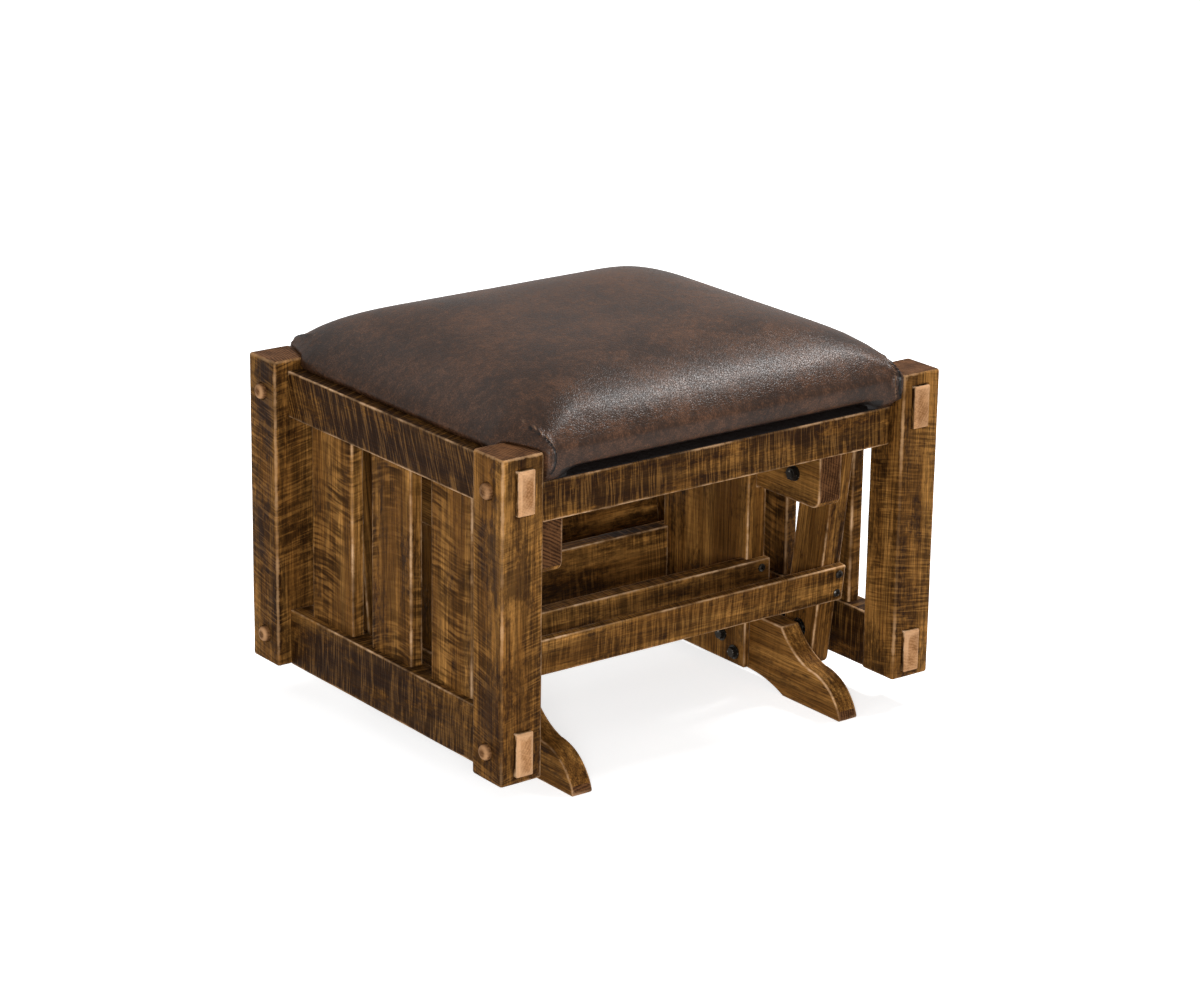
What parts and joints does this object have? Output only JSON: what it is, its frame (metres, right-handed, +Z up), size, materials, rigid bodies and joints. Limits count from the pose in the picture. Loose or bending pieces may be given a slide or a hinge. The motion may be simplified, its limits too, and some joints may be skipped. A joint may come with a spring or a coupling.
{
  "type": "glider ottoman",
  "caption": "Gliding footstool: a slatted wooden seat frame with a leather cushion swings on slanted arms from a sled-foot base.",
  "frame": {"origin": "middle of the footprint, on the floor", "axes": "+X to the right seen from the front, -Y to the front, +Z up"},
  "size_m": [0.576, 0.471, 0.4272],
  "materials": {
    "sawn_wood": "rough-sawn brown wood under a satin lacquer, edges worn lighter",
    "peg_wood": "turned wood, satin, rims worn lighter",
    "plywood": "plain plywood",
    "cover": "dark brown grained leather, soft sheen",
    "fastener_steel": "zinc plated, dull",
    "bearing_steel": "ground steel"
  },
  "bodies": {
    "base": {"left_foot": "sawn_wood", "left_upright": "sawn_wood", "left_hanger_rail": "sawn_wood", "left_foot_bolts": "fastener_steel", "left_hanger_bolts": "fastener_steel", "right_foot": "sawn_wood", "right_upright": "sawn_wood", "right_hanger_rail": "sawn_wood", "right_foot_bolts": "fastener_steel", "right_hanger_bolts": "fastener_steel", "front_stretcher": "sawn_wood", "back_stretcher": "sawn_wood", "stretcher_screws": "fastener_steel", "upper_pivot_bolts": "fastener_steel", "upper_pivot_washers": "fastener_steel", "upper_pivot_nuts": "fastener_steel"},
    "front_swing": {"left_front_arm": "sawn_wood", "right_front_arm": "sawn_wood", "front_cross_board": "sawn_wood", "front_cross_screws": "fastener_steel", "front_arm_bearings": "bearing_steel"},
    "seat_frame": {"left_front_post": "sawn_wood", "left_back_post": "sawn_wood", "left_top_rail": "sawn_wood", "left_bottom_rail": "sawn_wood", "left_front_slat": "sawn_wood", "left_middle_slat": "sawn_wood", "left_back_slat": "sawn_wood", "left_pegs": "peg_wood", "left_seat_cleat": "sawn_wood", "right_front_post": "sawn_wood", "right_back_post": "sawn_wood", "right_top_rail": "sawn_wood", "right_bottom_rail": "sawn_wood", "right_front_slat": "sawn_wood", "right_middle_slat": "sawn_wood", "right_back_slat": "sawn_wood", "right_pegs": "peg_wood", "right_seat_cleat": "sawn_wood", "front_seat_rail": "sawn_wood", "back_seat_rail": "sawn_wood", "cleat_screws": "fastener_steel", "seat_board": "plywood", "cushion": "cover", "lower_pivot_studs": "fastener_steel", "lower_pivot_spacers": "fastener_steel", "lower_pivot_washers": "fastener_steel", "lower_pivot_nuts": "fastener_steel"},
    "back_swing": {"left_back_arm": "sawn_wood", "right_back_arm": "sawn_wood", "back_cross_board": "sawn_wood", "back_cross_screws": "fastener_steel", "back_arm_bearings": "bearing_steel"}
  },
  "joints": [
    {"name": "glide", "type": "hinge", "parent": "base", "child": "front_swing", "pos_m": [0, -0.134, 0.254], "axis": [1, 0, 0], "range_deg": [-12, 12]},
    {"name": "seat_level", "type": "hinge", "parent": "front_swing", "child": "seat_frame", "pos_m": [0, -0.11, 0.065], "axis": [1, 0, 0], "range_deg": [-14.7, 14.7]},
    {"name": "back_follow", "type": "hinge", "parent": "base", "child": "back_swing", "pos_m": [0, 0.134, 0.254], "axis": [1, 0, 0], "range_deg": [-12, 12]}
  ],
  "couplings": [
    {"joint": "seat_level", "follows": "glide", "ratio": -1.2182},
    {"joint": "back_follow", "follows": "glide", "ratio": 1}
  ]
}
